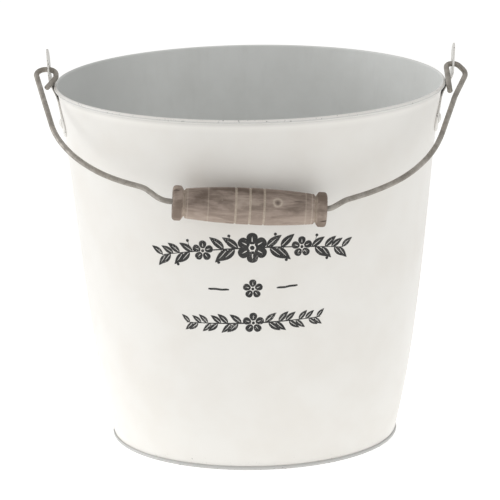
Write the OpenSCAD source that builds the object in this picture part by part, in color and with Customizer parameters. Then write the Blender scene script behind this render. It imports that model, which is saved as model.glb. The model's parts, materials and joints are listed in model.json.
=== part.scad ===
// Florist bucket: a tapered sheet-metal pail with a wired rim, a seamed-in bottom, two riveted ears
// and a swinging wire bail that carries a turned wooden grip.
// Origin: on the bucket's axis, at the height of the floor. +Z is up, +X runs from ear to ear, and the
// bail rests against the front of the wall, on the -Y side.

/* [Bucket] */
// Outside diameter over the rolled rim
rim_d = 220; // [216:1:220]
// Height from the floor to the top of the rim
height = 204; // [198:1:210]
// Outside diameter over the foot bead
foot_d = 163; // [158:1:168]
// Thickness of the sheet metal
sheet = 0.5; // [0.4:0.05:0.6]
// How far the wall bulges outward between rim and foot
belly = 2.3; // [0:0.1:3]
// Diameter of the wire that the rim is rolled around
rim_wire_d = 1.2; // [1:0.1:1.5]
// Height of the rolled bead around the foot
foot_bead_h = 2.4; // [2.2:0.1:2.6]
// Height of the underside of the bottom above the floor
bottom_z = 4; // [3:0.5:8]

/* [Ears] */
// Height of the ear hole's axis above the rim
axis_rise = 8; // [7:0.5:10]
// Mean distance from the bucket's axis to the inner face of an ear at its hole
ear_lobe_r = 113.1; // [112.9:0.1:113.3]
// How far each ear stands to the right of that mean place
ear_shift = 0.8; // [0:0.1:0.9]
// Thickness of the ear plate
ear_t = 1; // [0.8:0.1:1.1]
// Width of the ear's upright tongue
tongue_w = 17; // [15:0.5:18]
// Height of the tongue's centre of rounding above the hole's axis
tongue_rise = 3.2; // [2:0.1:3.4]
// Width of the ear's base on the wall
ear_base_w = 46; // [40:1:48]
// How far the ear's lower edge is below the rim
ear_drop = 27; // [25:1:29]
// Diameter of the hole for the bail
ear_hole_d = 5; // [4:0.1:5.4]

/* [Rivets] */
// Diameter of the rivet's shank
rivet_d = 3; // [2.5:0.1:3.5]
// Diameter of the rivet's heads
rivet_head_d = 6; // [5:0.5:7]
// Distance between the two rivets of an ear
rivet_pitch = 28; // [24:1:32]
// How far the rivets are below the rim
rivet_drop = 20; // [18:0.5:22]

/* [Bail] */
// Diameter of the bail's wire
bail_d = 3; // [2.6:0.1:3.2]
// Angle of the bail below the horizontal where it rests on the wall
rest_dip = 25.7; // [24.5:0.1:25.7]
// Angle by which each side of the bail is twisted away from that mean
twist = 1.5; // [0:0.1:1.6]
// Distance from the ear holes' axis to the grip's axis
bail_reach = 125.2; // [125.2:0.1:127]
// Distance from the grip's axis back to the wire's, since the grip hangs on the wire
grip_sag = 1.1; // [0:0.1:1.1]

/* [Grip] */
// Length of the wooden grip
grip_l = 82.6; // [78:0.2:82.6]
// Largest diameter of the grip's barrel
grip_d = 20; // [17:0.5:20]
// Diameter of the barrel where it meets the end collars
grip_end_d = 16; // [14:0.5:17]
// Diameter of the end collars
collar_d = 19; // [17:0.5:19]
// Width of each end collar
collar_w = 5.4; // [4:0.2:7]
// Diameter of the bore that the wire runs through
grip_bore_d = 6; // [5.6:0.1:6.4]
// How far the grip sits to the right of the bail's middle, or to the left of it below 0
grip_shift = -1.2; // [-1.2:0.1:0]

/* [Hidden] */
$fn = 96;
fit = 0.05;            // clearance between parts that lie against each other
wire_fit = 0.02;       // clearance around the wire inside the rolled rim
wire_colour = [0.46, 0.44, 0.41];

// Rolled rim: the sheet turns outward over the wire
rim_wire_r = rim_wire_d / 2;
bead_r = rim_wire_r + sheet;
bead_ring_r = rim_d / 2 - bead_r;
bead_z = height - bead_r;
curl_end = -118;       // angle at which the rolled sheet meets the wall again

// Wall: a straight taper plus a belly that is fullest below mid height
wall_top_r = bead_ring_r - rim_wire_r;
wall_foot_r = foot_d / 2 - 1.4;
belly_skew = 1.4;
wall_bands = 16;

// Foot: the bottom's edge turns down inside the wall and curls up around the wall's lip
foot_r = foot_bead_h / 2;
foot_ring_r = foot_d / 2 - foot_r;
foot_curl_end = 60;
wall_foot_z = sheet + wire_fit;
lip_z0 = 0.9;
lip_z1 = 1.5;
lip_r = foot_ring_r + 0.45;

// Ear: follows the wall, then steps out past the rim to an upright tongue
axis_z = height + axis_rise;
ear_bottom_z = height - ear_drop;
ear_bend_z = height - 9.5;      // height at which the ear leaves the wall
ear_straight_z = height + 5.5;  // height at which the ear has reached the tongue's line
tongue_lean = 0.05;             // outward lean of the tongue, mm per mm of height
tongue_r = tongue_w / 2;
tongue_z = axis_z + tongue_rise;
neck_z = height - 6.5;          // height at which the tongue widens into the base
ear_corner_r = 5.5;
ear_corner_y = ear_base_w / 2 - ear_corner_r;
ear_bands = 16;
ear_sweep = 30;                 // angle of wall that the ear is cut from

// Rivets: domed outside, flat inside
rivet_z = height - rivet_drop;
rivet_dome_h = 1.3;
rivet_flat_h = 0.8;
rivet_turn = asin(rivet_pitch / 2 / wall_r(rivet_z));
wall_slope = atan((wall_r(rivet_z + 1) - wall_r(rivet_z - 1)) / 2);

// Bail: corners of its centre line and the bend at each, from hook to grip. A corner is
// [distance from the mid plane, distance from the ear holes' axis, bend radius].
wire_reach = bail_reach - grip_sag;
left_side = [[113.4, 18.1, 0], [108.4, 8, 4.5], [108.7, 0, 5], [120.7, 0, 5], [100.7, 91.9, 80],
             [57.7, 111.4, 12], [47.1, wire_reach, 13], [39.5, wire_reach, 20]];
right_side = [[111.4, 25.2, 0], [110.3, 0, 3.2], [116.5, 0.3, 4.5], [121.5, 8.6, 8], [113.7, 29.8, 20],
              [95.6, 98, 80], [50.3, 117.5, 12], [42.3, wire_reach, 6], [39, wire_reach, 20]];
bar_lap = 0.1;         // how far a straight length of wire runs on into the bend beside it
bend_step = 0.01;      // how much thinner a bend is drawn, so that it ends inside that length

// Grip: barrel between two collars, with three fine cut rings in the middle
barrel_l = grip_l - 2 * collar_w;
barrel_bands = 20;
groove_w = 1.6;
groove_depth = 1.1;
ring_pitch = 7.6;
ring_w = 1.2;
ring_depth = 0.5;
collar_round = 1.2;

// Outside radius of the wall at height z
function wall_r(z) = let (t = z / bead_z)
    wall_foot_r + (wall_top_r - wall_foot_r) * t
    + 4 * belly * t * (1 - t) * (1 + belly_skew * (1 - 2 * t));

// Points along an arc about [x, y] from angle a0 to a1
function arc(x, y, r, a0, a1, steps) =
    [for (i = [0:steps]) let (a = a0 + (a1 - a0) * i / steps) [x + r * cos(a), y + r * sin(a)]];

function backwards(list) = [for (i = [len(list) - 1:-1:0]) list[i]];

// Face of the wall at heights z0 to z1, moved inward by the given distance
function wall_face(z0, z1, inward, steps) =
    [for (i = [0:steps]) let (z = z0 + (z1 - z0) * i / steps) [wall_r(z) - inward, z]];

// Inner face of one ear at height z: on the wall below, on the tongue's line above
function ear_face(z, side) =
    let (t = min(1, max(0, (z - ear_bend_z) / (ear_straight_z - ear_bend_z))),
         blend = t * t * (3 - 2 * t),
         lobe = ear_lobe_r + side * ear_shift + tongue_lean * (z - axis_z))
    (1 - blend) * (wall_r(z) + fit) + blend * lobe;

// Place of a bail corner when its side hangs at the given dip
function hung(corner, side, dip) =
    [side * corner.x, -corner.y * cos(dip), axis_z - corner.y * sin(dip)];

function barrel_r(x) =
    let (t = 2 * x / barrel_l) grip_end_d / 2 + (grip_d - grip_end_d) / 2 * (1 - t * t);

function unit(v) = v / norm(v);

bail_corners = concat([for (c = left_side) hung(c, -1, rest_dip - twist)],
                      [for (c = backwards(right_side)) hung(c, 1, rest_dip + twist)]);
bail_bends = concat([for (c = left_side) c.z], [for (c = backwards(right_side)) c.z]);
grip_start = hung([grip_l / 2, bail_reach], -1, rest_dip - twist);
grip_finish = hung([grip_l / 2, bail_reach], 1, rest_dip + twist);

// Puts children on the wall at each rivet of one ear, with +Z along the wall's outward normal
module at_rivets(side) {
    for (turn = [-rivet_turn, rivet_turn])
        mirror([side < 0 ? 1 : 0, 0, 0])
            rotate([0, 0, turn])
                translate([wall_r(rivet_z), 0, rivet_z])
                    rotate([0, 90 + wall_slope, 0])
                        children();
}

module rivet_hole() {
    translate([0, 0, -3])
        cylinder(r = rivet_d / 2 + fit, h = 6);
}

module bucket_wall() {
    color("ivory")
        difference() {
            rotate_extrude()
                polygon(concat(
                    [[wall_r(wall_foot_z) - sheet, wall_foot_z], [wall_r(wall_foot_z), wall_foot_z]],
                    [[lip_r, lip_z0], [lip_r, lip_z1]],
                    wall_face(lip_z1, bead_z - bead_r / 2, 0, wall_bands),
                    arc(bead_ring_r, bead_z, rim_wire_r + wire_fit, 180, curl_end, 20),
                    arc(bead_ring_r, bead_z, bead_r, curl_end, 180, 20),
                    wall_face(bead_z - bead_r / 2, lip_z1, sheet, wall_bands)));
            at_rivets(-1) rivet_hole();
            at_rivets(1) rivet_hole();
        }
}

module rim_wire() {
    color("silver")
        rotate_extrude()
            translate([bead_ring_r, bead_z])
                circle(r = rim_wire_r);
}

module bottom_pan() {
    skirt = sheet + fit;
    color("ivory")
        rotate_extrude()
            polygon(concat(
                [[0, bottom_z], [wall_r(bottom_z) - skirt - sheet, bottom_z]],
                [[wall_r(0) - skirt - sheet, 0]],
                arc(foot_ring_r, foot_r, foot_r, -90, foot_curl_end, 10),
                arc(foot_ring_r, foot_r, foot_r - sheet, foot_curl_end, -90, 10),
                [[wall_r(sheet) - skirt, sheet]],
                [[wall_r(bottom_z + sheet) - skirt, bottom_z + sheet], [0, bottom_z + sheet]]));
}

module ear_outline() {
    right_edge = concat(
        arc(ear_corner_y, ear_bottom_z + ear_corner_r, ear_corner_r, -90, 48, 8),
        [[tongue_r, neck_z]],
        arc(0, tongue_z, tongue_r, 0, 90, 12));
    left_edge = [for (p = backwards(right_edge)) [-p.x, p.y]];
    polygon(concat(right_edge, left_edge));
}

module ear(side) {
    top = tongue_z + tongue_r + 1;
    heights = [for (i = [0:ear_bands]) ear_bottom_z - 1 + (top - ear_bottom_z + 1) * i / ear_bands];
    color("ivory")
        difference() {
            mirror([side < 0 ? 1 : 0, 0, 0])
                difference() {
                    intersection() {
                        rotate([0, 0, -ear_sweep / 2])
                            rotate_extrude(angle = ear_sweep)
                                polygon(concat(
                                    [for (z = heights) [ear_face(z, side), z]],
                                    [for (z = backwards(heights)) [ear_face(z, side) + ear_t, z]]));
                        translate([wall_foot_r, 0, 0])
                            rotate([90, 0, 90])
                                linear_extrude(rim_d / 2)
                                    ear_outline();
                    }
                    translate([wall_foot_r, 0, axis_z])
                        rotate([0, 90, 0])
                            cylinder(d = ear_hole_d, h = rim_d / 2);
                }
            at_rivets(side) rivet_hole();
        }
}

module ear_left() {
    ear(-1);
}

module ear_right() {
    ear(1);
}

module rivet() {
    ear_top = (fit + ear_t) * cos(wall_slope) + fit;
    wall_bottom = -sheet * cos(wall_slope) - fit;
    head_r = rivet_head_d / 2;
    dome_r = (head_r * head_r + rivet_dome_h * rivet_dome_h) / (2 * rivet_dome_h);
    union() {
        translate([0, 0, wall_bottom - rivet_flat_h / 2])
            cylinder(d = rivet_d, h = ear_top - wall_bottom + rivet_flat_h);
        translate([0, 0, wall_bottom - rivet_flat_h])
            cylinder(r = head_r, h = rivet_flat_h);
        intersection() {
            translate([0, 0, ear_top + rivet_dome_h - dome_r])
                sphere(r = dome_r);
            translate([0, 0, ear_top])
                cylinder(r = head_r + 1, h = rivet_dome_h + 1);
        }
    }
}

module ear_rivets() {
    color("ivory") {
        at_rivets(-1) rivet();
        at_rivets(1) rivet();
    }
}

// Round bar from one point to another
module bar(from, to, r) {
    d = to - from;
    translate(from)
        rotate([0, acos(d.z / norm(d)), atan2(d.y, d.x)])
            cylinder(r = r, h = norm(d));
}

// Half the turn at a corner decides how far from it the bend starts
function bend_reach(p0, p1, p2, r) = r * tan(acos(unit(p1 - p0) * unit(p2 - p1)) / 2);

// Bend of the wire around one corner
module bend(p0, p1, p2, r) {
    along = unit(p1 - p0);
    after = unit(p2 - p1);
    normal = unit(cross(along, after));
    inward = cross(normal, along);
    centre = p1 - along * bend_reach(p0, p1, p2, r) + inward * r;
    multmatrix([[-inward.x, along.x, normal.x, centre.x],
                [-inward.y, along.y, normal.y, centre.y],
                [-inward.z, along.z, normal.z, centre.z]])
        rotate_extrude(angle = acos(along * after))
            translate([r, 0])
                circle(r = bail_d / 2 - bend_step);
}

module bail_wire() {
    last = len(bail_corners) - 1;
    reach = [for (i = [0:last]) i == 0 || i == last ? 0 :
        bend_reach(bail_corners[i - 1], bail_corners[i], bail_corners[i + 1], bail_bends[i])];
    color(wire_colour)
        union() {
            for (i = [0:last - 1]) {
                along = unit(bail_corners[i + 1] - bail_corners[i]);
                bar(bail_corners[i] + along * (reach[i] - (i == 0 ? 0 : bar_lap)),
                    bail_corners[i + 1] - along * (reach[i + 1] - (i == last - 1 ? 0 : bar_lap)),
                    bail_d / 2);
            }
            for (i = [1:last - 1])
                bend(bail_corners[i - 1], bail_corners[i], bail_corners[i + 1], bail_bends[i]);
        }
}

// Half of the grip's outline, from the middle to one end, as [radius, distance along]
module grip_outline() {
    collar_x = barrel_l / 2;
    end_x = grip_l / 2;
    collar_r = collar_d / 2;
    stop = collar_x - groove_w;
    side = concat(
        [for (i = [0:barrel_bands]) let (x = stop * i / barrel_bands) [barrel_r(x), x]],
        [[barrel_r(stop) - groove_depth, stop + groove_w / 2], [barrel_r(stop), collar_x]],
        [[collar_r - collar_round / 2, collar_x], [collar_r, collar_x + collar_round]],
        arc(collar_r - collar_round, end_x - collar_round, collar_round, 0, 90, 4));
    polygon(concat([[0, 0]], side, [[0, end_x]]));
}

module cut_ring(x) {
    translate([0, 0, x])
        rotate_extrude()
            polygon([[barrel_r(x) - ring_depth, 0], [grip_d, ring_w * 6], [grip_d, -ring_w * 6]]);
}

module wooden_grip() {
    d = grip_finish - grip_start;
    color("rosybrown")
        translate((grip_start + grip_finish) / 2 + unit(d) * grip_shift)
            rotate([0, acos(d.z / norm(d)), atan2(d.y, d.x)])
                difference() {
                    union() {
                        rotate_extrude() grip_outline();
                        mirror([0, 0, 1]) rotate_extrude() grip_outline();
                    }
                    for (x = [-ring_pitch, 0, ring_pitch])
                        cut_ring(x);
                    cylinder(d = grip_bore_d, h = grip_l + 2, center = true);
                }
}

bucket_wall();
rim_wire();
bottom_pan();
ear_left();
ear_right();
ear_rivets();
bail_wire();
wooden_grip();
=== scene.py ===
"""Florist bucket: the visible pieces of a painted steel pail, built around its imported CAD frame.

The shape functions work in millimetres, as the CAD does, and add_mesh turns the result into metres. A turn
is an angle in radians. +Z is up, +X runs from ear to ear, and the front of the bucket faces -Y.
"""

import json
from math import atan, atan2, ceil, cos, degrees, exp, hypot, pi, radians, sin, sqrt, tan

import bmesh
import bpy
from mathutils import Matrix, Vector, geometry, noise


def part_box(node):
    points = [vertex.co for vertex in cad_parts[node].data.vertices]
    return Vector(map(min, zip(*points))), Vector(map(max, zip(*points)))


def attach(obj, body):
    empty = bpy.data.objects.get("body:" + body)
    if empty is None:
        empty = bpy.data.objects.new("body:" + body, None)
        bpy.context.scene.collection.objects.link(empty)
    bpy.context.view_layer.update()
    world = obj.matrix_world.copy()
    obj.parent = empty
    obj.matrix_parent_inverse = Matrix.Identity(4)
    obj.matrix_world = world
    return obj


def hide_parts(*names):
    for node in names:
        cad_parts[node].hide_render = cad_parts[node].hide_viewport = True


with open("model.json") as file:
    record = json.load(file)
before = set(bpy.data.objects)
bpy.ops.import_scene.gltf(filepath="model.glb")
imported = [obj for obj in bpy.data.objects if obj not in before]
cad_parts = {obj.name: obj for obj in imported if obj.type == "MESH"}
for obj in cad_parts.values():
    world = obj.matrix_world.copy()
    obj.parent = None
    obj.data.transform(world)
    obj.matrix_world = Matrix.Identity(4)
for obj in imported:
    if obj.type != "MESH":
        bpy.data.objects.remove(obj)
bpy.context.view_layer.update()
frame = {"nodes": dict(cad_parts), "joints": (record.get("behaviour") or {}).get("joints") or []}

MM = 0.001
JOINTS = {joint["name"]: joint for joint in frame["joints"]}


def box_mm(node):
    return [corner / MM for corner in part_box(node)]


# ---------------------------------------------------------------- sizes, as in the CAD

SHEET = 0.5                       # thickness of the steel
FIT = 0.05                        # gap between parts that lie against each other
RIM_R = round(box_mm("bucket_wall")[1].x, 1)
HEIGHT = round(box_mm("bucket_wall")[1].z, 1)
FOOT_R = round(box_mm("bottom_pan")[1].x, 1)
AXIS_Z = JOINTS["bail_swing"]["pos_m"][2] / MM

RIM_WIRE_R = 0.6
WIRE_FIT = 0.02
BEAD_R = RIM_WIRE_R + SHEET
BEAD_RING_R = RIM_R - BEAD_R
BEAD_Z = HEIGHT - BEAD_R
CURL_END = -118
GREY_EDGE = 97                    # degrees round the rim's bead at which the grey inside paint begins

WALL_TOP_R = BEAD_RING_R - RIM_WIRE_R
WALL_FOOT_R = FOOT_R - 1.4
WALL_MEAN_R = 97                  # makes a distance round the wall into a turn
BELLY = 2.3
BELLY_SKEW = 1.4

FOOT_BEAD_R = 1.2
FOOT_RING_R = FOOT_R - FOOT_BEAD_R
FOOT_CURL_END = 60
BOTTOM_Z = 4
LIP_R = FOOT_RING_R + 0.45
LIP_Z0 = 0.9
LIP_Z1 = 1.5

EAR_T = 1
EAR_LOBE_R = {-1: 112.3, 1: 113.9}
TONGUE_LEAN = 0.05
TONGUE_R = 8.5
TONGUE_Z = AXIS_Z + 3.2
NECK_Z = HEIGHT - 6.5
EAR_BOTTOM_Z = HEIGHT - 27
EAR_CORNER_R = 5.5
EAR_CORNER_Y = 23 - EAR_CORNER_R
EAR_BEND_Z = HEIGHT - 9.5
EAR_STRAIGHT_Z = HEIGHT + 5.5
EAR_HOLE_R = 2.5

RIVET_Z = HEIGHT - 20
RIVET_HALF_PITCH = 14
RIVET_R = 1.5
RIVET_HEAD_R = 3
RIVET_DOME_H = 1.3
RIVET_FLAT_H = 0.8

WIRE_R = 1.5
DIP = {-1: 24.2, 1: 27.2}         # each side's angle below the horizontal at rest, in degrees
WIRE_REACH = 124.1                # from the ears' axis to the wire inside the grip

# Corners of the bail from hook to grip: distance from the mid plane, distance from the ears' axis and
# radius of the bend
LEFT_SIDE = [(113.4, 18.1, 0), (108.4, 8, 4.5), (108.7, 0, 5), (120.7, 0, 5), (100.7, 91.9, 80),
             (57.7, 111.4, 12), (47.1, WIRE_REACH, 13), (39.5, WIRE_REACH, 20)]
RIGHT_SIDE = [(111.4, 25.2, 0), (110.3, 0, 3.2), (116.5, 0.3, 4.5), (121.5, 8.6, 8), (113.7, 29.8, 20),
              (95.6, 98, 80), (50.3, 117.5, 12), (42.3, WIRE_REACH, 6), (39, WIRE_REACH, 20)]

GRIP_HALF = 41.3
GRIP_R = 10
GRIP_END_R = 8
COLLAR_R = 9.5
COLLAR_X = GRIP_HALF - 5.4
GROOVE_X = COLLAR_X - 1.6
GROOVE_DEPTH = 1.1
RING_PITCH = 7.6
RING_DEPTH = 0.5
RINGS = (-RING_PITCH, 0, RING_PITCH)
BORE_R = 3

# Details that only the visible pieces have
FINE_RINGS = [(-22.3, 0.14), (29.8, 0.14), (-33.4, 0.1), (33.2, 0.1)]    # place on the grip, depth

SEAM_TURN = 0                     # the wall's lock seam runs up under the right ear
SEAM_HALF_W = 2.6
SEAM_RISE = 0.28
SEAM_EDGE = 0.35                  # width of the seam's sloping edge

KNOT_X = 14.6
KNOT_TURN = radians(-29)          # round the grip from its front, upward
KNOT_R = 2.1


# ---------------------------------------------------------------- shape functions

def smoothstep(low, high, x):
    """0 below low, 1 above high, and eased between them."""
    t = min(1, max(0, (x - low) / (high - low)))
    return t * t * (3 - 2 * t)


def wall_r(z):
    """Outside radius of the smooth wall at height z."""
    t = z / BEAD_Z
    belly = 4 * BELLY * t * (1 - t) * (1 + BELLY_SKEW * (1 - 2 * t))
    return WALL_FOOT_R + (WALL_TOP_R - WALL_FOOT_R) * t + belly


def ear_r(z, side):
    """Radius of one ear's inner face at height z."""
    blend = smoothstep(EAR_BEND_Z, EAR_STRAIGHT_Z, z)
    return (1 - blend) * (wall_r(z) + FIT) + blend * (EAR_LOBE_R[side] + TONGUE_LEAN * (z - AXIS_Z))


def arc(x, y, r, start, end, steps):
    """Points on an arc about (x, y), angles in degrees."""
    turns = [radians(start + (end - start) * i / steps) for i in range(steps + 1)]
    return [(x + r * cos(a), y + r * sin(a)) for a in turns]


def spaced(start, end, pitch):
    """Values from start to end, about pitch apart."""
    steps = max(1, ceil(abs(end - start) / pitch))
    return [start + (end - start) * i / steps for i in range(steps + 1)]


def wall_ripple(turn, z):
    """The slight waviness of the sheet, half a millimetre thick, which the ears, rim and foot hold flat.
    """
    free = smoothstep(6, 34, z) * (1 - smoothstep(146, 172, z))
    at = Vector((cos(turn) * 2.1, sin(turn) * 2.1, z / 52))
    return 0.16 * free * noise.noise(at)


def turn_between(turn, middle):
    """The turn from middle, within half a turn either way."""
    return (turn - middle + pi) % (2 * pi) - pi


def seam_rise(turn, z):
    """How far the flattened lock seam stands out from the wall."""
    off = abs(turn_between(turn, SEAM_TURN)) * wall_r(z)
    pressed = smoothstep(4, 14, z) * (1 - smoothstep(163, 174, z))
    return SEAM_RISE * pressed * (1 - smoothstep(SEAM_HALF_W - SEAM_EDGE, SEAM_HALF_W, off))


def wall_point(turn, z, out=0.0):
    """A point on the wall's outer face, or out millimetres beyond it."""
    r = wall_r(z) + wall_ripple(turn, z) + seam_rise(turn, z) + out
    return (r * cos(turn), r * sin(turn), z)


# ---------------------------------------------------------------- mesh building

def add_mesh(name, points, faces, materials, skins=None, sharp=35):
    """An object from millimetre points, its normals outward and its sharp edges marked."""
    mesh = bpy.data.meshes.new(name)
    mesh.from_pydata([Vector(p) * MM for p in points], [], faces)
    for material in materials:
        mesh.materials.append(material)
    if skins:
        mesh.polygons.foreach_set("material_index", skins)
    work = bmesh.new()
    work.from_mesh(mesh)
    bmesh.ops.remove_doubles(work, verts=work.verts, dist=1e-7)
    bmesh.ops.recalc_face_normals(work, faces=work.faces)
    work.to_mesh(mesh)
    work.free()
    mesh.shade_smooth()
    mesh.set_sharp_from_angle(angle=radians(sharp))
    made = bpy.data.objects.new(name, mesh)
    bpy.context.scene.collection.objects.link(made)
    return made


def lathe(name, profile, turns, place, materials, skin=None, sharp=35):
    """A closed profile of (radius, height) turned about an axis. place(radius, height, turn) gives
    each point, and skin(i) the material of the band that starts at profile point i."""
    rows, columns = len(profile), len(turns)
    points = [place(r, h, turn) for turn in turns for r, h in profile]
    faces, skins = [], []
    for c in range(columns):
        for i in range(rows):
            a, b = c * rows, (c + 1) % columns * rows
            j = (i + 1) % rows
            faces.append((a + i, a + j, b + j, b + i))
            skins.append(skin(i) if skin else 0)
    return add_mesh(name, points, faces, materials, skins, sharp)


def about_z(r, z, turn):
    return (r * cos(turn), r * sin(turn), z)


def full_turn(steps):
    return [2 * pi * i / steps for i in range(steps)]


def frames_along(path):
    """A (point, side, up) frame at each point of a path, turned as little as possible."""
    tangents = []
    for i in range(len(path)):
        tangents.append((path[min(i + 1, len(path) - 1)] - path[max(i - 1, 0)]).normalized())
    side = tangents[0].orthogonal().normalized()
    made = []
    for i, tangent in enumerate(tangents):
        if i:
            side = tangents[i - 1].rotation_difference(tangent) @ side
            side = (side - tangent * side.dot(tangent)).normalized()
        made.append((path[i], side, tangent.cross(side)))
    return made


def tube(name, path, radius_at, sides, materials):
    """A round bar along a path, its clipped ends slightly rounded over."""
    ends = [(0.0, 0.55), (0.12, 0.86), (0.4, 1.0)]
    start = (path[1] - path[0]).normalized()
    end = (path[-1] - path[-2]).normalized()
    path = ([path[0] + start * d for d, _ in ends] + path[1:-1]
            + [path[-1] - end * d for d, _ in reversed(ends)])
    scales = [s for _, s in ends] + [1.0] * (len(path) - 2 * len(ends)) + [s for _, s in reversed(ends)]
    points, faces = [], []
    for i, (at, side, up) in enumerate(frames_along(path)):
        for k in range(sides):
            a = 2 * pi * k / sides
            points.append(at + (side * cos(a) + up * sin(a)) * radius_at(i, a) * scales[i])
    for i in range(len(path) - 1):
        for k in range(sides):
            n = (k + 1) % sides
            faces.append((i * sides + k, i * sides + n, (i + 1) * sides + n, (i + 1) * sides + k))
    last = (len(path) - 1) * sides
    faces += [tuple(range(sides)), tuple(last + k for k in reversed(range(sides)))]
    return add_mesh(name, points, faces, materials, sharp=50)


def filleted(corners, pitch):
    """A path through corners of (point, bend radius), with true arcs at the bends."""
    path = [corners[0][0]]
    for (before, _), (at, bend), (after, _) in zip(corners, corners[1:], corners[2:]):
        into, away = (at - before).normalized(), (after - at).normalized()
        turn = into.angle(away)
        normal = into.cross(away).normalized()
        inward = normal.cross(into)
        centre = at - into * bend * tan(turn / 2) + inward * bend
        steps = max(3, ceil(bend * turn / pitch))
        for i in range(steps + 1):
            path.append(centre + Matrix.Rotation(turn * i / steps, 3, normal) @ (-inward * bend))
    path.append(corners[-1][0])
    dense = []
    for a, b in zip(path, path[1:]):
        steps = max(1, ceil((b - a).length / (2 * pitch)))
        dense += [a.lerp(b, i / steps) for i in range(steps)]
    return dense + [path[-1]]


def is_inside(x, y, outline):
    """Whether a ray from (x, y) crosses the outline an odd number of times."""
    odd = False
    for (x0, y0), (x1, y1) in zip(outline, outline[1:] + outline[:1]):
        if (y0 > y) != (y1 > y) and x < x0 + (y - y0) * (x1 - x0) / (y1 - y0):
            odd = not odd
    return odd


class Region:
    """A flat outline with its box, for quick tests."""

    def __init__(self, outline):
        self.outline = outline
        self.low = [min(p[k] for p in outline) for k in (0, 1)]
        self.high = [max(p[k] for p in outline) for k in (0, 1)]

    def holds(self, x, y):
        within = self.low[0] <= x <= self.high[0] and self.low[1] <= y <= self.high[1]
        return within and is_inside(x, y, self.outline)


def fill(outlines, cuts, pitch):
    """Triangles over the union of outlines less the cuts, with inner points pitch apart."""
    keep, drop = [Region(o) for o in outlines], [Region(o) for o in cuts]
    points, edges = [], []
    for outline in outlines + cuts:
        first = len(points)
        points += [Vector(p) for p in outline]
        edges += [(first + i, first + (i + 1) % len(outline)) for i in range(len(outline))]
    cells = {(round(p.x / pitch), round(p.y / pitch)) for p in points}
    low = [min(r.low[k] for r in keep) for k in (0, 1)]
    high = [max(r.high[k] for r in keep) for k in (0, 1)]
    for row, y in enumerate(spaced(low[1], high[1], pitch * 0.87)):
        for x in spaced(low[0] + row % 2 * pitch / 2, high[0], pitch):
            if (round(x / pitch), round(y / pitch)) in cells:
                continue
            if any(r.holds(x, y) for r in keep):
                points.append(Vector((x, y)))
    flat, _, triangles, *_ = geometry.delaunay_2d_cdt(points, edges, [], 0, 1e-4)
    wanted = []
    for triangle in triangles:
        x = sum(flat[i].x for i in triangle) / 3
        y = sum(flat[i].y for i in triangle) / 3
        if any(r.holds(x, y) for r in keep) and not any(r.holds(x, y) for r in drop):
            wanted.append(tuple(triangle))
    used = sorted({i for triangle in wanted for i in triangle})
    place = {old: new for new, old in enumerate(used)}
    return [tuple(flat[i]) for i in used], [tuple(place[i] for i in t) for t in wanted]


def slab(name, flat, triangles, under, over, materials):
    """A closed sheet over flat triangles: under() places its one face and over() the other."""
    count = len(flat)
    directed = {(t[k], t[(k + 1) % 3]) for t in triangles for k in range(3)}
    border = [(a, b) for a, b in sorted(directed) if (b, a) not in directed]
    faces = [tuple(reversed(t)) for t in triangles]
    faces += [tuple(i + count for i in t) for t in triangles]
    faces += [(a, b, b + count, a + count) for a, b in border]
    return add_mesh(name, [under(p) for p in flat] + [over(p) for p in flat], faces, materials)


def bevel(piece, width, segments, angle):
    """Rounds the piece's sharp edges and applies the result to its mesh."""
    modifier = piece.modifiers.new("rounded edges", "BEVEL")
    modifier.width = width * MM
    modifier.segments = segments
    modifier.limit_method = "ANGLE"
    modifier.angle_limit = radians(angle)
    modifier.harden_normals = False
    graph = bpy.context.evaluated_depsgraph_get()
    mesh = bpy.data.meshes.new_from_object(piece.evaluated_get(graph))
    piece.modifiers.clear()
    piece.data = mesh
    mesh.shade_smooth()
    mesh.set_sharp_from_angle(angle=radians(35))


def tint(piece, name, value_at):
    """Stores value_at(point in mm) at each vertex, for the piece's material to read."""
    layer = piece.data.attributes.new(name, "FLOAT", "POINT")
    layer.data.foreach_set("value", [value_at(v.co / MM) for v in piece.data.vertices])


# ---------------------------------------------------------------- materials

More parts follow.
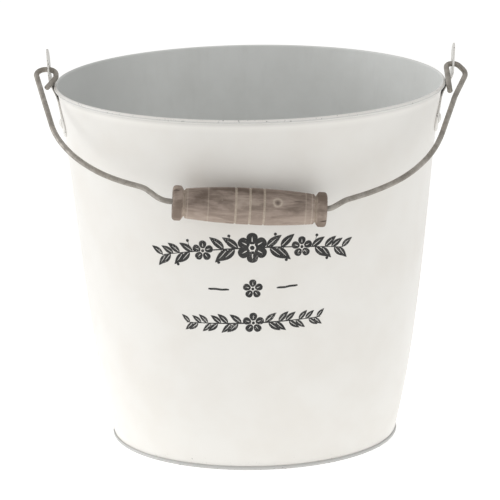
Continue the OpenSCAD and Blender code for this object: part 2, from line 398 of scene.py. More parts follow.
class Shader:
    """A node material around one Principled shader. A noise size is in millimetres."""

    def __init__(self, name):
        self.material = bpy.data.materials.new(name)
        self.material.use_nodes = True
        self.tree = self.material.node_tree
        self.surface = self.tree.nodes["Principled BSDF"]
        self.coordinates = self.node("TexCoord").outputs["Object"]

    def feed(self, socket, value):
        if isinstance(value, bpy.types.NodeSocket):
            self.tree.links.new(value, socket)
        elif isinstance(value, tuple) and len(value) == 3 and socket.type == "RGBA":
            socket.default_value = (*value, 1)
        else:
            socket.default_value = value

    def node(self, kind, inputs=None, **settings):
        made = self.tree.nodes.new("ShaderNode" + kind)
        for key, value in settings.items():
            setattr(made, key, value)
        for key, value in (inputs or {}).items():
            self.feed(made.inputs[key], value)
        return made

    def stretched(self, x, y, z):
        """Object coordinates scaled by x, y and z, so that a noise is drawn out along the lowest."""
        inputs = {0: self.coordinates, 1: (x, y, z)}
        return self.node("VectorMath", inputs, operation="MULTIPLY").outputs[0]

    def noise(self, size, detail=2.0, roughness=0.5, at=None, distortion=0.0):
        made = self.node("TexNoise", {
            "Vector": at or self.coordinates, "Scale": 1 / (size * MM), "Detail": detail,
            "Roughness": roughness, "Distortion": distortion})
        return made.outputs[0]

    def attribute(self, name):
        return self.node("Attribute", attribute_name=name).outputs["Fac"]

    def span(self, value, low, high, to_low=0.0, to_high=1.0):
        """value from low..high onto to_low..to_high, eased at both ends."""
        made = self.node("MapRange", {
            "Value": value, "From Min": low, "From Max": high, "To Min": to_low, "To Max": to_high},
            interpolation_type="SMOOTHSTEP")
        return made.outputs[0]

    def math(self, operation, a, b):
        return self.node("Math", {0: a, 1: b}, operation=operation).outputs[0]

    def blend(self, share, a, b):
        """Colour a, going to b as share goes to 1. Inputs 6 and 7 are the Mix node's colours."""
        made = self.node("Mix", {0: share, 6: a, 7: b}, data_type="RGBA")
        return made.outputs[2]

    def bump(self, height, depth, under=None):
        """Surface normal of a relief depth millimetres deep."""
        inputs = {"Height": height, "Distance": depth * MM, "Strength": 1.0}
        if under:
            inputs["Normal"] = under
        return self.node("Bump", inputs).outputs[0]

    def finish(self, colour, roughness, normal=None, specular=0.5, metallic=0.0):
        surface = self.surface.inputs
        self.feed(surface["Base Color"], colour)
        self.feed(surface["Roughness"], roughness)
        surface["Specular IOR Level"].default_value = specular
        surface["Metallic"].default_value = metallic
        if normal:
            self.feed(surface["Normal"], normal)
        return self.material


CREAM = (0.80, 0.785, 0.752)
CREAM_WARM = (0.775, 0.752, 0.712)
# Whiter cream, used as a painted highlight under the rim's bead
CREAM_PAINTED_LIGHT = (0.92, 0.905, 0.87)
# Dark steel: the colour of chips, and of the painted shadow in the gap behind each ear
STEEL_AND_SHADOW_DARK = (0.16, 0.15, 0.14)
# Primer grey: the colour of grime round chips, and of the painted shade on the beads
PRIMER_AND_SHADE_GREY = (0.44, 0.445, 0.44)


def enamel(name, roughness):
    """Sprayed satin paint, faintly mottled and softly dimpled. The vertex values change it: 'wear' chips
    it to steel, 'crease' greys it as painted shade, 'fresh' whitens it as a painted highlight, and 'bare'
    turns it steel-dark as a painted shadow in a gap."""
    m = Shader(name)
    mottle = m.noise(34, 3, 0.55)
    flecks = m.noise(1.7, 2, 0.6)
    paint = m.blend(m.span(mottle, 0.35, 0.7), CREAM, CREAM_WARM)
    paint = m.blend(m.span(flecks, 0.55, 0.85, 0, 0.12), paint, CREAM_WARM)
    rubbed = m.math("MULTIPLY", m.attribute("wear"), m.span(m.noise(9, 2), 0.35, 0.65, 0.55, 1.0))
    chip_field = m.math("ADD", m.noise(1.1, 4, 0.62), m.math("MULTIPLY", rubbed, 0.2))
    chips = m.span(chip_field, 0.775, 0.81)
    grime = m.span(chip_field, 0.66, 0.80, 0, 0.25)
    # Painted shade: the 'crease' value greys the paint under the rim's bead and on the foot's bead
    paint = m.blend(m.math("MULTIPLY", m.attribute("painted_shade"), 0.5), paint, PRIMER_AND_SHADE_GREY)
    # Painted highlight: the 'fresh' value whitens the paint
    paint = m.blend(m.attribute("painted_light"), paint, CREAM_PAINTED_LIGHT)
    colour = m.blend(chips, m.blend(grime, paint, PRIMER_AND_SHADE_GREY), STEEL_AND_SHADOW_DARK)
    # Painted shadow: the 'bare' value turns the paint steel-dark, for the gap between an ear and the wall
    colour = m.blend(m.attribute("painted_gap_shade"), colour, STEEL_AND_SHADOW_DARK)
    dimples = m.bump(m.noise(0.9, 2, 0.5), 0.006)
    relief = m.bump(m.math("SUBTRACT", 1.0, chips), 0.05, dimples)
    gloss = m.span(m.noise(22, 3, 0.6), 0.3, 0.7, roughness - 0.05, roughness + 0.06)
    return m.finish(colour, roughness=gloss, normal=relief, specular=0.45)


def white_paint():
    return enamel("white_paint", 0.36)


def ear_paint():
    return enamel("ear_paint", 0.4)


def inside_paint():
    """Matt grey base coat, cloudy where sprayed thinly, with faint vertical runs, and painted shade that
    darkens it toward its left end where 'thin' is set.
    """
    m = Shader("inside_paint")
    cloud = m.noise(26, 4, 0.6)
    runs = m.noise(7, 3, 0.55, at=m.stretched(1, 1, 0.18))
    grain = m.noise(0.8, 2, 0.6)
    colour = m.blend(m.span(cloud, 0.3, 0.72), (0.765, 0.775, 0.762), (0.72, 0.728, 0.712))
    colour = m.blend(m.span(runs, 0.5, 0.8, 0, 0.35), colour, (0.67, 0.675, 0.66))
    colour = m.blend(m.span(grain, 0.6, 0.8, 0, 0.16), colour, (0.82, 0.82, 0.80))
    # Painted shade: the 'thin' value darkens the inside toward its left end
    colour = m.blend(m.attribute("inside_painted_shade"), colour, (0.585, 0.595, 0.585))
    relief = m.bump(grain, 0.02)
    return m.finish(colour, roughness=m.span(cloud, 0.3, 0.7, 0.56, 0.7), normal=relief,
                    specular=0.3)


def motif_ink():
    """Thin charcoal ink, rubbed through to the paint in places."""
    m = Shader("motif_ink")
    tone = m.noise(5, 3, 0.6)
    worn = m.math("ADD", m.noise(0.75, 3, 0.65), m.math("MULTIPLY", m.noise(11, 2), 0.35))
    colour = m.blend(m.span(tone, 0.35, 0.7), (0.020, 0.020, 0.020), (0.045, 0.044, 0.042))
    colour = m.blend(m.span(worn, 0.80, 0.90), colour, (0.52, 0.50, 0.47))
    relief = m.bump(m.noise(0.6, 2), 0.01)
    return m.finish(colour, roughness=m.span(tone, 0.3, 0.7, 0.5, 0.68), normal=relief,
                    specular=0.35)


def core_wire():
    """Plain drawn wire inside the rim."""
    m = Shader("core_wire")
    dull = m.noise(3, 3, 0.6)
    colour = m.blend(m.span(dull, 0.35, 0.7), (0.52, 0.52, 0.51), (0.33, 0.32, 0.31))
    return m.finish(colour, metallic=1.0, roughness=m.span(dull, 0.3, 0.7, 0.3, 0.5),
                    normal=m.bump(m.noise(0.4, 2), 0.01))


def bail_steel():
    """Weathered bright wire: a dull oxide skin, darker patches, small rusty clouds and fine pitting."""
    m = Shader("bail_steel")
    cloud = m.noise(6, 4, 0.62)
    spots = m.noise(1.1, 3, 0.6)
    warm = m.noise(16, 2, 0.5)
    colour = m.blend(m.span(cloud, 0.3, 0.7), (0.39, 0.362, 0.325), (0.25, 0.228, 0.20))
    colour = m.blend(m.span(spots, 0.56, 0.72, 0, 0.6), colour, (0.13, 0.118, 0.104))
    colour = m.blend(m.span(warm, 0.55, 0.75, 0, 0.4), colour, (0.31, 0.255, 0.20))
    relief = m.bump(m.noise(0.5, 3, 0.6), 0.05)
    return m.finish(colour, metallic=0.45, roughness=m.span(cloud, 0.3, 0.7, 0.4, 0.58),
                    normal=relief, specular=0.5)


def grip_wood():
    """Turned softwood gone grey-brown: long grain, open pores, dark stains and paler cuts. The vertex
    values change it:
    'cut' pales the turned cuts and paints a highlight ring round the knot, 'bleached' is painted light
    that pales its lower front, and 'collar' and 'dark' darken it."""
    m = Shader("grip_wood")
    long_grain = m.noise(1.5, 5, 0.62, at=m.stretched(0.06, 1, 1), distortion=0.3)
    fine_grain = m.noise(0.45, 3, 0.6, at=m.stretched(0.05, 1, 1))
    figure = m.noise(4.5, 3, 0.55, at=m.stretched(0.22, 1, 1), distortion=0.8)
    stain = m.noise(13, 4, 0.6, at=m.stretched(0.6, 1, 1))
    speck = m.noise(0.9, 3, 0.6, at=m.stretched(0.5, 1, 1))
    colour = m.blend(m.span(figure, 0.32, 0.7), (0.325, 0.260, 0.220), (0.180, 0.140, 0.114))
    colour = m.blend(m.span(long_grain, 0.42, 0.68, 0, 0.75), colour, (0.165, 0.126, 0.10))
    colour = m.blend(m.span(stain, 0.54, 0.68, 0, 0.8), colour, (0.11, 0.08, 0.062))
    colour = m.blend(m.span(stain, 0.34, 0.50, 0.7, 0), colour, (0.42, 0.345, 0.29))
    colour = m.blend(m.span(fine_grain, 0.60, 0.74, 0, 0.6), colour, (0.095, 0.07, 0.055))
    colour = m.blend(m.span(speck, 0.62, 0.74, 0, 0.4), colour, (0.42, 0.35, 0.30))
    # Painted light: the 'bleached' value makes the grip's lower front paler, as if lit from below
    lit_underside = m.math("MULTIPLY", m.attribute("underside_painted_light"), m.span(figure, 0.3, 0.66, 0.75, 0.4))
    colour = m.blend(lit_underside, colour, (0.43, 0.345, 0.29))
    end_tone = m.math("MULTIPLY", m.attribute("collar"), m.span(stain, 0.34, 0.58, 0.0, 0.75))
    colour = m.blend(end_tone, colour, (0.165, 0.125, 0.097))
    # Paler at the turned cuts, with a painted highlight ring round the knot
    pale_share = m.math("MULTIPLY", m.attribute("cut"), m.span(speck, 0.3, 0.6, 0.9, 0.55))
    colour = m.blend(pale_share, colour, (0.60, 0.52, 0.43))
    colour = m.blend(m.attribute("dark"), colour, (0.075, 0.056, 0.045))
    pores = m.bump(fine_grain, 0.12)
    relief = m.bump(long_grain, 0.22, pores)
    return m.finish(colour, roughness=m.span(figure, 0.3, 0.7, 0.62, 0.8), normal=relief,
                    specular=0.25)


def pale_floor():
    """A pale, softly glowing floor that is brightest around the bucket."""
    m = Shader("pale_floor")
    tone = m.noise(900, 2)
    colour = m.blend(tone, (0.86, 0.86, 0.855), (0.88, 0.88, 0.875))
    m.feed(m.surface.inputs["Emission Color"], (1.0, 1.0, 0.995))
    from_middle = m.node("VectorMath", {0: m.coordinates}, operation="LENGTH").outputs["Value"]
    glow = m.span(from_middle, 0.12, 0.45, NEAR_GLOW, FLOOR_GLOW)
    m.feed(m.surface.inputs["Emission Strength"], glow)
    return m.finish(colour, roughness=0.9, specular=0.1)


# ---------------------------------------------------------------- bucket

def wall_turns():
    """Even turns round the wall, with closer ones at the seam's two edges."""
    half, slope = SEAM_HALF_W, SEAM_EDGE
    offsets = [-half - 0.3, -half, -half + slope / 2, -half + slope]
    offsets += [half - slope, half - slope / 2, half, half + 0.3]
    seam_turns = [SEAM_TURN + offset / WALL_MEAN_R for offset in offsets]
    gap = 2.0 / WALL_MEAN_R
    clear = [t for t in full_turn(300) if all(abs(turn_between(t, s)) > gap for s in seam_turns)]
    return sorted(t % (2 * pi) for t in clear + seam_turns + [SEAM_TURN])


def make_wall(outside, inside):
    """The rolled sheet: lip at the foot, bellied taper, and the curl over the rim's wire."""
    outer = [(wall_r(z), z) for z in spaced(LIP_Z1, BEAD_Z - BEAD_R / 2, 3)]
    hidden_curl = arc(BEAD_RING_R, BEAD_Z, RIM_WIRE_R + WIRE_FIT, 180, CURL_END, 16)
    shown_curl = arc(BEAD_RING_R, BEAD_Z, BEAD_R, CURL_END, GREY_EDGE, 18)
    grey_curl = arc(BEAD_RING_R, BEAD_Z, BEAD_R, GREY_EDGE, 180, 8)[1:]
    inner = [(wall_r(z) - SHEET, z) for z in spaced(BEAD_Z - BEAD_R / 2, LIP_Z1, 3)]
    foot_z = SHEET + WIRE_FIT
    profile = [(wall_r(foot_z) - SHEET, foot_z), (wall_r(foot_z), foot_z), (LIP_R, LIP_Z0)]
    profile += outer + hidden_curl + shown_curl
    grey_from = len(profile) - 1
    profile += grey_curl + inner
    half = SHEET / 2

    def place(r, z, turn):
        if not LIP_Z1 <= z <= BEAD_Z - BEAD_R:
            return about_z(r, z, turn)
        shift = wall_ripple(turn, z)
        if r > wall_r(z) - half:
            shift += seam_rise(turn, z)
        return about_z(r + shift, z, turn)

    wall = lathe("wall_shell", profile, wall_turns(), place, [outside, inside],
                 lambda i: 1 if i >= grey_from else 0)

    def wear(p):
        r = hypot(p.x, p.y)
        on_bead = 0.8 * smoothstep(HEIGHT - 1.6, HEIGHT - 0.1, p.z)
        outer_edge = 0.8 * smoothstep(RIM_R - 0.5, RIM_R, r)
        low = 0.75 * (1 - smoothstep(2, 9, p.z))
        return max(on_bead, outer_edge, low)

    # Painted shade on the lower half of the rim's bead, where it turns down away from the light
    def painted_shade(p):
        low = smoothstep(BEAD_Z - 1.0, BEAD_Z - 0.5, p.z)
        return 1.15 * low * (1 - smoothstep(BEAD_Z - 0.05, BEAD_Z + 0.4, p.z))

    # Painted highlight on the bead's lower lip and the wall just beneath it, where light from below falls
    def painted_light(p):
        low = smoothstep(BEAD_Z - 4.5, BEAD_Z - 2.2, p.z)
        return low * (1 - smoothstep(BEAD_Z - 1.0, BEAD_Z - 0.6, p.z))

    tint(wall, "wear", wear)
    tint(wall, "painted_shade", painted_shade)
    tint(wall, "painted_light", painted_light)
    # Painted shade on the inside, growing toward the left (-X) end, which the light reaches least
    tint(wall, "inside_painted_shade", lambda p: 0.85 * smoothstep(50, 100, -p.x))
    return wall


def make_bottom(outside, inside):
    """The pressed bottom: floor, skirt inside the wall, and the curl that grips the wall's lip."""
    skirt = SHEET + FIT
    step_r, step_w, step_h = 61, 2.5, 0.5      # where the floor steps up toward its middle
    flat_r, flat_edge_r = 66, 76               # the flat ring outside that step
    fold = 0.7                                 # size of the rounding between floor and skirt

    def floor_z(r):
        return step_h * (1 - smoothstep(step_r, step_r + step_w, r))

    edge_low = wall_r(BOTTOM_Z) - skirt - SHEET
    edge_high = wall_r(BOTTOM_Z + SHEET) - skirt
    radii = spaced(0, step_r - 1, 6) + spaced(step_r, step_r + step_w, 0.5)
    radii += spaced(flat_r, flat_edge_r, 3)
    under = [(r, BOTTOM_Z + floor_z(r)) for r in radii]
    top = [(r, BOTTOM_Z + SHEET + floor_z(r)) for r in reversed(radii)]
    profile = under + [(edge_low - fold, BOTTOM_Z), (edge_low - 0.2, BOTTOM_Z - 0.2)]
    profile += [(edge_low, BOTTOM_Z - fold)]
    profile += [(wall_r(0) - skirt - SHEET, 0.25), (wall_r(0) - skirt - SHEET + 0.25, 0)]
    profile += arc(FOOT_RING_R, FOOT_BEAD_R, FOOT_BEAD_R, -90, FOOT_CURL_END, 18)
    profile += arc(FOOT_RING_R, FOOT_BEAD_R, FOOT_BEAD_R - SHEET, FOOT_CURL_END, -90, 12)
    profile += [(wall_r(SHEET) - skirt, SHEET), (edge_high, BOTTOM_Z)]
    profile += [(edge_high - 0.15, BOTTOM_Z + SHEET - 0.12), (edge_high - 0.6, BOTTOM_Z + SHEET)]
    first_top = len(profile) - 2
    profile += top

    def place(r, z, turn):
        if r >= flat_edge_r - 2:
            return about_z(r, z, turn)
        sag = 0.12 * noise.noise(Vector((r * cos(turn) / 38, r * sin(turn) / 38, 4.2)))
        return about_z(r, z + sag, turn)

    pan = lathe("foot_pan", profile, full_turn(240), place, [outside, inside],
                lambda i: 1 if i >= first_top else 0)
    tint(pan, "wear", lambda p: 0.95 if p.z < 1.0 else 0.55 * (1 - smoothstep(1, 4, p.z)))
    # Painted shade: the foot's outer bead is greyed as a painted contact shadow where it meets the floor
    tint(pan, "painted_shade", lambda p: 1.5 * smoothstep(FOOT_RING_R - 1, FOOT_RING_R, hypot(p.x, p.y)))
    return pan


def ear_outline():
    """The ear's outline as (distance from its middle, height), from the foot's right corner round."""
    right = arc(EAR_CORNER_Y, EAR_BOTTOM_Z + EAR_CORNER_R, EAR_CORNER_R, -90, 48, 12)
    shoulder = right[-1]
    steps = 9
    for i in range(1, steps):
        right.append(tuple(Vector(shoulder).lerp(Vector((TONGUE_R, NECK_Z)), i / steps)))
    right += [(TONGUE_R, z) for z in spaced(NECK_Z, TONGUE_Z, 1.5)[:-1]]
    right += arc(0, TONGUE_Z, TONGUE_R, 0, 90, 16)
    left = [(-y, z) for y, z in reversed(right[:-1])]
    foot = [(y, EAR_BOTTOM_Z) for y in spaced(-EAR_CORNER_Y, EAR_CORNER_Y, 1.5)[1:-1]]
    return right + left + foot


def make_ear(name, side, paint):
    """A stamped plate that lies on the wall, then steps out past the rim to an upright tongue."""
    hole = arc(0, AXIS_Z, EAR_HOLE_R, 0, 360, 32)[:-1]
    outline = ear_outline()
    flat, triangles = fill([outline], [hole], pitch=1.7)

    def face(out):
        def place(p):
            r = ear_r(p[1], side) + out
            return (side * sqrt(r * r - p[0] * p[0]), p[0], p[1])
        return place

    ear = slab(name, flat, triangles, face(0), face(EAR_T), [paint])
    bevel(ear, width=0.22, segments=2, angle=50)
    rim = outline + hole

    def wear(p):
        from_edge = sqrt(min((p.y - y) ** 2 + (p.z - z) ** 2 for y, z in rim))
        from_hole = abs(hypot(p.y, p.z - AXIS_Z) - EAR_HOLE_R)
        at_edge = 0.9 * (1 - smoothstep(0.3, 1.6, from_edge))
        return max(at_edge, 1.1 * (1 - smoothstep(0.4, 2.2, from_hole)))

    # Painted shadow: the ear's back face above its bend is made steel-dark, to darken the gap under it
    def painted_gap_shade(p):
        on_back = 1 - smoothstep(0.3, 0.6, hypot(p.x, p.y) - ear_r(p.z, side))
        above_bend = smoothstep(EAR_BEND_Z, EAR_BEND_Z + 3.5, p.z)
        return on_back * above_bend * (1 - smoothstep(HEIGHT - 0.5, HEIGHT + 2, p.z))

    tint(ear, "wear", wear)
    tint(ear, "painted_gap_shade", painted_gap_shade)
    return ear


def make_rivets(paint):
    """Four rivets through wall and ear: a hammered dome outside and a flat head inside."""
    slope = atan((wall_r(RIVET_Z + 1) - wall_r(RIVET_Z - 1)) / 2)
    ear_top = (FIT + EAR_T) * cos(slope) + FIT
    back = -SHEET * cos(slope) - FIT
    dome_r = (RIVET_HEAD_R ** 2 + RIVET_DOME_H ** 2) / (2 * RIVET_DOME_H)
    dome_z = ear_top + RIVET_DOME_H - dome_r
    dome_edge = degrees(atan2(ear_top + 0.12 - dome_z, RIVET_HEAD_R - 0.1))
    face = back - RIVET_FLAT_H
    profile = [(0, face), (1.2, face), (RIVET_HEAD_R - 0.5, face), (RIVET_HEAD_R - 0.15, face + 0.12)]
    profile += [(RIVET_HEAD_R, back - 0.4), (RIVET_HEAD_R - 0.05, back), (RIVET_R, back)]
    profile += [(RIVET_R, ear_top), (RIVET_HEAD_R - 0.1, ear_top), (RIVET_HEAD_R, ear_top + 0.06)]
    profile += arc(0, dome_z, dome_r, dome_edge, 90, 9)[1:]
    swing = atan2(RIVET_HALF_PITCH, sqrt(wall_r(RIVET_Z) ** 2 - RIVET_HALF_PITCH ** 2))
    points, faces = [], []
    steps = 40
    for side in (-1, 1):
        for end in (-1, 1):
            turn = (0 if side > 0 else pi) + end * swing
            base = Vector((wall_r(RIVET_Z) * cos(turn), wall_r(RIVET_Z) * sin(turn), RIVET_Z))
            out = Vector((cos(slope) * cos(turn), cos(slope) * sin(turn), -sin(slope)))
            across = Vector((-sin(turn), cos(turn), 0))
            up = out.cross(across)
            first = len(points)
            for a in full_turn(steps):
                for r, h in profile:
                    spot = Vector((r * cos(a) / 1.6, r * sin(a) / 1.6, side * 3 + end))
                    h += 0.09 * noise.noise(spot) * smoothstep(ear_top, ear_top + 0.6, h)
                    points.append(base + out * h + (across * cos(a) + up * sin(a)) * r)
            rows = len(profile)
            for c in range(steps):
                a, b = first + c * rows, first + (c + 1) % steps * rows
                faces += [(a + i, a + i + 1, b + i + 1, b + i) for i in range(rows - 1)]
    rivets = add_mesh("ear_rivet_heads", points, faces, [paint])

    tint(rivets, "wear", lambda p: 0.85 * smoothstep(1.2, 2.4, hypot(p.x, p.y) - wall_r(RIVET_Z)))
    return rivets


# ---------------------------------------------------------------- bail and grip

def hung(corner, side):
    """Place and bend radius of one of the bail's corners, where its side hangs at rest."""
    dip = radians(DIP[side])
    across, reach, bend = corner
    return Vector((side * across, -reach * cos(dip), AXIS_Z - reach * sin(dip))), bend


def make_bail(steel):
    """One length of wire from hook to hook, with the small unevenness of hand bending. Its hooks and the
    middle, inside the grip, stay where the CAD has them."""
    left = [hung(c, -1) for c in LEFT_SIDE]
    right = [hung(c, 1) for c in RIGHT_SIDE]
    path = filleted(left + right[::-1], 0.9)
    middle = len(path) / 2
    for i, point in enumerate(path):
        free = smoothstep(14, 40, min(i, len(path) - 1 - i)) * smoothstep(0, 60, abs(i - middle))
        sway = Vector([noise.noise(Vector((i / 26, k * 7.3, 1.7))) for k in range(3)])
        path[i] = point + sway * 0.28 * free

    def radius_at(i, a):
        return WIRE_R * (1 + 0.012 * noise.noise(Vector((i / 5, cos(a), sin(a)))))

    return tube("bail_rod", path, radius_at, 28, [steel])


def barrel_r(x):
    share = x / COLLAR_X
    return GRIP_END_R + (GRIP_R - GRIP_END_R) * (1 - share * share)


def turned_r(x):
    """Radius of the turned grip at distance x along it, without its grain."""
    far = abs(x)
    if far <= GROOVE_X:
        r = barrel_r(far)
        for middle in RINGS:
            r -= RING_DEPTH * (1 - smoothstep(0.08, 0.55, abs(x - middle)))
        for middle, depth in FINE_RINGS:
            r -= depth * (1 - smoothstep(0.05, 0.4, abs(x - middle)))
        return r
    end_r = barrel_r(GROOVE_X)
    dip = (COLLAR_X - GROOVE_X) / 2
    if far <= COLLAR_X:
        return end_r - GROOVE_DEPTH * (1 - smoothstep(0.1, dip, abs(far - GROOVE_X - dip)))
    soft_in, soft_out = 1.5, 1.9
    if far < COLLAR_X + soft_in:
        a = 1 - (far - COLLAR_X) / soft_in
        return COLLAR_R - (COLLAR_R - end_r) * a * a
    if far > GRIP_HALF - soft_out:
        a = (far - GRIP_HALF + soft_out) / soft_out
        return COLLAR_R - soft_out * 0.8 * (1 - sqrt(max(0, 1 - a * a)))
    return COLLAR_R


CRACKS = [  # start and end along the grip, degrees round it, depth, width
    (-41.2, -30.5, 118, 0.7, 0.30), (-34.6, -19, 152, 0.4, 0.22), (17, 34.6, 96, 0.45, 0.22),
    (29, 41.2, 204, 0.75, 0.30), (-14, 5, 60, 0.35, 0.2), (-41.2, -36.8, 300, 0.6, 0.28),
    (-30, -8, 262, 0.4, 0.22), (22, 31, 322, 0.3, 0.2), (36.8, 41.2, 30, 0.6, 0.28),
]


def crack_at(x, turn, r):
    """How deep the drying cracks are at a point of the grip."""
    deepest = 0
    for start, end, middle, depth, width in CRACKS:
        if not start < x < end:
            continue
        wander = 0.45 * noise.noise(Vector((x / 3.5, middle, 0)))
        off = turn_between(turn, radians(middle)) * r + wander
        ease = smoothstep(start, start + 2.5, x) if abs(start) < GRIP_HALF - 1 else 1
        ease *= (1 - smoothstep(end - 2.5, end, x)) if abs(end) < GRIP_HALF - 1 else 1
        deepest = max(deepest, depth * ease * exp(-(off / width) ** 2))
    return deepest


def from_knot(x, turn, r):
    """Distance from the knot's middle, in knot radii."""
    return hypot(x - KNOT_X, turn_between(turn, KNOT_TURN) * r) / KNOT_R


def make_grip(wood):
    """The turned grip, lying along local X, with raised grain, cracks and one knot."""
    outer = [(turned_r(x), x) for x in spaced(-GRIP_HALF, GRIP_HALF, 0.36)]
    hollows = [(6.6, 0), (5, 0.05), (4, 0.05), (3.4, 0.2), (BORE_R, 0.7)]
    face = [(r, GRIP_HALF - d) for r, d in hollows]
    bore = [(BORE_R, x) for x in spaced(GRIP_HALF - 3, -GRIP_HALF + 3, 8)]
    profile = outer + face + bore + [(r, -x) for r, x in reversed(face)]

    def place(r, x, turn):
        if r < BORE_R + 0.3:
            return (x, r * cos(turn), r * sin(turn))
        y, z = r * cos(turn), r * sin(turn)
        grain = noise.noise(Vector((x / 16, y / 0.9, z / 0.9)))
        fibre = noise.noise(Vector((x / 9, y / 0.45, z / 0.45 + 9)))
        dents = noise.noise(Vector((x / 6, y / 4, z / 4 + 31)))
        drop = 0.06 * (1 + grain) + 0.03 * (1 + fibre) + 0.12 * max(0, dents - 0.1)
        drop += crack_at(x, turn, r)
        knot = from_knot(x, turn, r)
        drop -= 0.28 * exp(-((knot - 0.85) / 0.3) ** 2) - 0.22 * exp(-(knot / 0.45) ** 2)
        r -= drop * smoothstep(BORE_R, 5, r)
        return (x, r * cos(turn), r * sin(turn))

    grip = lathe("turned_grip", profile, full_turn(200), place, [wood], sharp=60)

    def cut(p):
        rings = [1 - smoothstep(0.25, 0.75, abs(p.x - x)) for x in RINGS]
        fine = [0.5 * (1 - smoothstep(0.1, 0.45, abs(p.x - x))) for x, _ in FINE_RINGS]
        middle = (COLLAR_X + GROOVE_X) / 2
        ends = 0.85 * (1 - smoothstep(0.3, 1.0, abs(abs(p.x) - middle)))
        knot = from_knot(p.x, atan2(p.z, p.y), hypot(p.y, p.z))
        # Painted highlight: a pale ring round the knot, for its raised rim catching light
        knot_highlight_ring = 0.75 * exp(-((knot - 1.0) / 0.28) ** 2)
        return max(rings + fine + [ends, knot_highlight_ring])

    def dark(p):
        turn, r = atan2(p.z, p.y), hypot(p.y, p.z)
        heart = 0.8 * exp(-(from_knot(p.x, turn, r) / 0.55) ** 2)
        bore = 0.85 * (1 - smoothstep(BORE_R, 4.4, r))
        return max(min(1, crack_at(p.x, turn, r) * 2.2), heart, bore)

    # Painted light on the grip's lower front, as lit from below
    def underside_painted_light(p):
        facing = (p.z + 0.5 * p.y) / hypot(p.y, p.z)
        return smoothstep(-0.25, 0.7, facing - 0.35)

    tint(grip, "cut", cut)
    tint(grip, "underside_painted_light", underside_painted_light)
    tint(grip, "dark", dark)
    tint(grip, "collar", lambda p: smoothstep(COLLAR_X, COLLAR_X + 1, abs(p.x)))
    joint = JOINTS["grip_spin"]
    along = Vector(joint["axis"]).normalized()
    front = Vector((0, -1, 0))
    front = (front - along * front.dot(along)).normalized()
    axes = Matrix((along, front, along.cross(front))).transposed().to_4x4()
    grip.matrix_world = Matrix.Translation(Vector(joint["pos_m"])) @ axes
    return grip


# ---------------------------------------------------------------- printed motif

PRINT_TILT = 0.028                # the print sits slightly askew, rising to the right
HAIRLINE = 0.06                   # width of a leaf at its two tips


def stroke(points, widths):
    """Outline of a brush stroke along points, as wide as widths says at each."""
    sides = []
    for i, (x, y) in enumerate(points):
        x0, y0 = points[max(i - 1, 0)]
        x1, y1 = points[min(i + 1, len(points) - 1)]
        long = hypot(x1 - x0, y1 - y0)
        sides.append(((y0 - y1) / long * widths[i] / 2, (x1 - x0) / long * widths[i] / 2))
    left = [(x + a, y + b) for (x, y), (a, b) in zip(points, sides)]
    right = [(x - a, y - b) for (x, y), (a, b) in zip(points, sides)]
    return left + right[::-1]


def leaf(angle, length, width, curl):
    """A pointed leaf whose stalk is at the origin, and the gap of its midrib."""
    steps = 9
    spine, widths = [], []
    for i in range(steps + 1):
        t = i / steps
        spine.append((length * t, curl * length * t * t))
        widths.append(max(HAIRLINE, width * sin(pi * t ** 0.8) ** 0.9) if 0 < t < 1 else HAIRLINE)
    c, s = cos(radians(angle)), sin(radians(angle))
    turned = [(x * c - y * s, x * s + y * c) for x, y in spine]
    rib = stroke(turned[1:7], [0.30, 0.34, 0.34, 0.32, 0.26, 0.16])
    return stroke(turned, widths), rib


def blossom(x, y, r, petals):
    """Petal outlines, the gaps of their veins and of a ring, and the heart inside that ring."""
    shapes, cuts = [], []
    for k in range(petals):
        a = radians(90 + 360 * k / petals)
        reach = r * 0.62
        wide, deep = r * 0.36, r * 0.40
        cx, cy = x + reach * cos(a), y + reach * sin(a)
        oval = []
        for t in full_turn(18):
            px, py = deep * cos(t), wide * sin(t) * (1 + 0.18 * cos(t))
            oval.append((cx + px * cos(a) - py * sin(a), cy + px * sin(a) + py * cos(a)))
        shapes.append(oval)
        inner, outer = r * 0.42, r * 0.78
        vein = [(x + q * cos(a), y + q * sin(a)) for q in (inner, (inner + outer) / 2, outer)]
        cuts.append(stroke(vein, [r * 0.07, r * 0.06, 0.04]))
    cuts.append(arc(x, y, r * 0.24, 0, 345, 23))
    heart = arc(x, y, r * 0.15, 0, 340, 17)
    return shapes, cuts, heart


def crest_line(height, drop, half):
    """Centre line of a tilted band of print, which falls by drop from its middle to its ends."""
    return lambda s: height - drop * (s / half) ** 2 + PRINT_TILT * s


def garland(line, half, leaf_at, leaf_l, leaf_w, lean):
    """A stem along a crest line, with pairs of leaves at leaf_at that point away from its middle."""
    shapes, cuts = [], []
    stem = [(s, line(s)) for s in spaced(-half, half, 2)]
    shapes.append(stroke(stem, [0.35 + 0.5 * (1 - abs(s / half)) for s, _ in stem]))
    for place, s in enumerate(leaf_at):
        shrink = 1 - 0.3 * abs(s) / half
        for side in (-1, 1):
            base = line(side * s)
            slope = degrees(atan(side * (line(side * s + 1) - line(side * s - 1)) / 2))
            for flip in (1, -1):
                angle = slope + flip * (lean + 5 * (place % 2))
                shift = s + 0.9 * flip * (1 if place % 2 else -1)
                shape, rib = leaf(angle, leaf_l * shrink, leaf_w * shrink, curl=0.12 * -flip)
                shapes.append([(side * (shift + x), base + y) for x, y in shape])
                cuts.append([(side * (shift + x), base + y) for x, y in rib])
    return shapes, cuts


def berries(line, spots, r):
    """Small round buds on short stalks."""
    shapes = []
    for s, lift in spots:
        for side in (-1, 1):
            foot = (side * (s - 1.6), line(side * s))
            head = (side * s, line(side * s) + lift)
            middle = ((foot[0] + head[0]) / 2, foot[1] + lift * 0.6)
            shapes.append(stroke([foot, middle, head], [0.3, 0.3, 0.3]))
            shapes.append(arc(*head, r, 0, 340, 17))
    return shapes


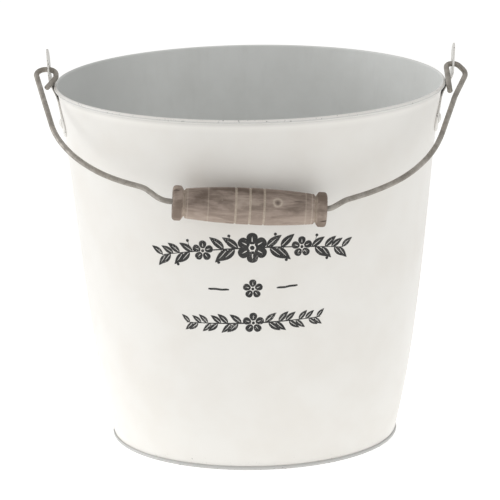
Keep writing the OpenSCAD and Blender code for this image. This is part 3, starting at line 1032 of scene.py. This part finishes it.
def motif_shapes():
    """Ink outlines and the gaps in them, as (distance round the wall from the front, height)."""
    upper, lower = crest_line(131.6, 5.2, 53), crest_line(88.4, -0.2, 38)
    lean = 46
    shapes, cuts = garland(upper, 51.5, [8.6, 14.6, 33.8, 39.6, 45.2, 50.0], 11.2, 4.6, lean)
    more, gaps = garland(lower, 37.5, [7.4, 13.0, 18.6, 24.2, 29.8, 34.6], 8.6, 3.5, lean)
    shapes, cuts = shapes + more, cuts + gaps
    hearts = []
    blossoms = [(0, upper(0), 8.4, 6), (-27.2, upper(-27.2), 5.8, 5), (27.2, upper(27.2), 5.8, 5),
                (0, lower(0), 5.8, 5), (0, 108.0, 5.4, 5)]
    for x, y, r, petals in blossoms:
        more, gaps, heart = blossom(x, y, r, petals)
        shapes, cuts = shapes + more, cuts + gaps
        hearts.append(heart)
    shapes += berries(upper, [(12.6, 7.4), (18.4, -7.3), (35.8, 6.6), (41.6, -6.4)], 0.85)
    dash_line = crest_line(107.6, -1.0, 24.5)
    for side in (-1, 1):
        dash = [(side * s, dash_line(side * s) + 0.12 * sin(s)) for s in spaced(13, 24.5, 1.5)]
        shapes.append(stroke(dash, [0.7] + [1.15] * (len(dash) - 2) + [0.8]))
    return shapes, cuts, hearts


def make_motif(ink):
    """The print on the front of the wall: a garland, a blossom between two dashes, and a sprig."""
    lift, thick = 0.015, 0.045
    shapes, cuts, hearts = motif_shapes()
    flat, triangles = fill(shapes, cuts, pitch=2.2)
    dots, dot_triangles = fill(hearts, [], pitch=2.2)
    first = len(flat)
    flat += dots
    triangles += [tuple(i + first for i in t) for t in dot_triangles]

    def face(out):
        def place(p):
            turn = -pi / 2 + p[0] / wall_r(p[1])
            return wall_point(turn, p[1], out)
        return place

    return slab("printed_motif", flat, triangles, face(lift), face(lift + thick), [ink])


# ---------------------------------------------------------------- studio

CAMERA_AIM = Vector((-1.25, 0, 105.8))
CAMERA_DISTANCE = 2040
CAMERA_ELEVATION = 13.89          # degrees above the horizontal
CAMERA_ROLL = -0.872              # degrees
CAMERA_LENS = 258.2
SENSOR_WIDTH = 36
WORLD_STRENGTH = 0.76
FLOOR_GLOW = 0.36                 # emission of the floor far from the bucket
NEAR_GLOW = 0.60                  # and around it


def make_camera():
    data = bpy.data.cameras.new("camera")
    data.lens = CAMERA_LENS
    data.sensor_width = SENSOR_WIDTH
    data.clip_start, data.clip_end = 0.05, 50
    camera = bpy.data.objects.new("camera", data)
    bpy.context.scene.collection.objects.link(camera)
    roll = Matrix.Rotation(radians(CAMERA_ROLL), 4, "Z")
    turn = Matrix.Rotation(radians(90 - CAMERA_ELEVATION), 4, "X") @ roll
    back = turn.to_3x3() @ Vector((0, 0, CAMERA_DISTANCE))
    camera.matrix_world = Matrix.Translation((CAMERA_AIM + back) * MM) @ turn
    bpy.context.scene.camera = camera


def make_key_light():
    """A large soft disk to the left and slightly behind, in metres."""
    at, aim = Vector((-2.6, 0.6, 0.8)), Vector((0, 0, 0.1))
    data = bpy.data.lights.new("key", "AREA")
    data.shape = "DISK"
    data.size = 1.3
    data.energy = 18
    light = bpy.data.objects.new("key", data)
    bpy.context.scene.collection.objects.link(light)
    facing = (aim - at).to_track_quat("-Z", "Y").to_matrix().to_4x4()
    light.matrix_world = Matrix.Translation(at) @ facing


def make_world():
    world = bpy.data.worlds.new("studio")
    bpy.context.scene.world = world
    world.use_nodes = True
    background = world.node_tree.nodes["Background"]
    background.inputs["Color"].default_value = (1.0, 0.998, 0.99, 1)
    background.inputs["Strength"].default_value = WORLD_STRENGTH


def make_floor():
    """A round floor, a hair below the foot so that the two don't share a plane."""
    radius, sides, gap = 9.0, 48, 0.05
    points = [(radius / MM * cos(a), radius / MM * sin(a), -gap) for a in full_turn(sides)]
    floor = add_mesh("floor", points, [tuple(range(sides))], [pale_floor()])


def make_studio():
    make_camera()
    make_world()
    make_key_light()
    make_floor()
    bpy.context.scene.view_settings.view_transform = "Standard"


# ---------------------------------------------------------------- assembly

def mount(piece, body, slot, *nodes):
    """The piece moves with body and stands for the CAD nodes, which it hides; slot is not used."""
    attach(piece, body)
    if nodes:
        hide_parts(*nodes)


def make_bucket():
    """The pieces of the bucket. The hidden core wire stays the CAD's, with a better material."""
    outside, inside, ears = white_paint(), inside_paint(), ear_paint()
    mount(make_wall(outside, inside), "bucket", "white_paint", "bucket_wall")
    mount(make_bottom(outside, inside), "bucket", "white_paint", "bottom_pan")
    mount(make_ear("ear_plate_left", -1, ears), "bucket", "ear_paint", "ear_left")
    mount(make_ear("ear_plate_right", 1, ears), "bucket", "ear_paint", "ear_right")
    mount(make_rivets(ears), "bucket", "ear_paint", "ear_rivets")
    mount(make_motif(motif_ink()), "bucket", "motif_ink")
    rim_wire = frame["nodes"]["rim_wire"]
    rim_wire.data.materials.clear()
    rim_wire.data.materials.append(core_wire())


def make_handle():
    mount(make_bail(bail_steel()), "bail", "bail_steel", "bail_wire")
    mount(make_grip(grip_wood()), "grip", "grip_wood", "wooden_grip")


make_studio()
make_bucket()
make_handle()
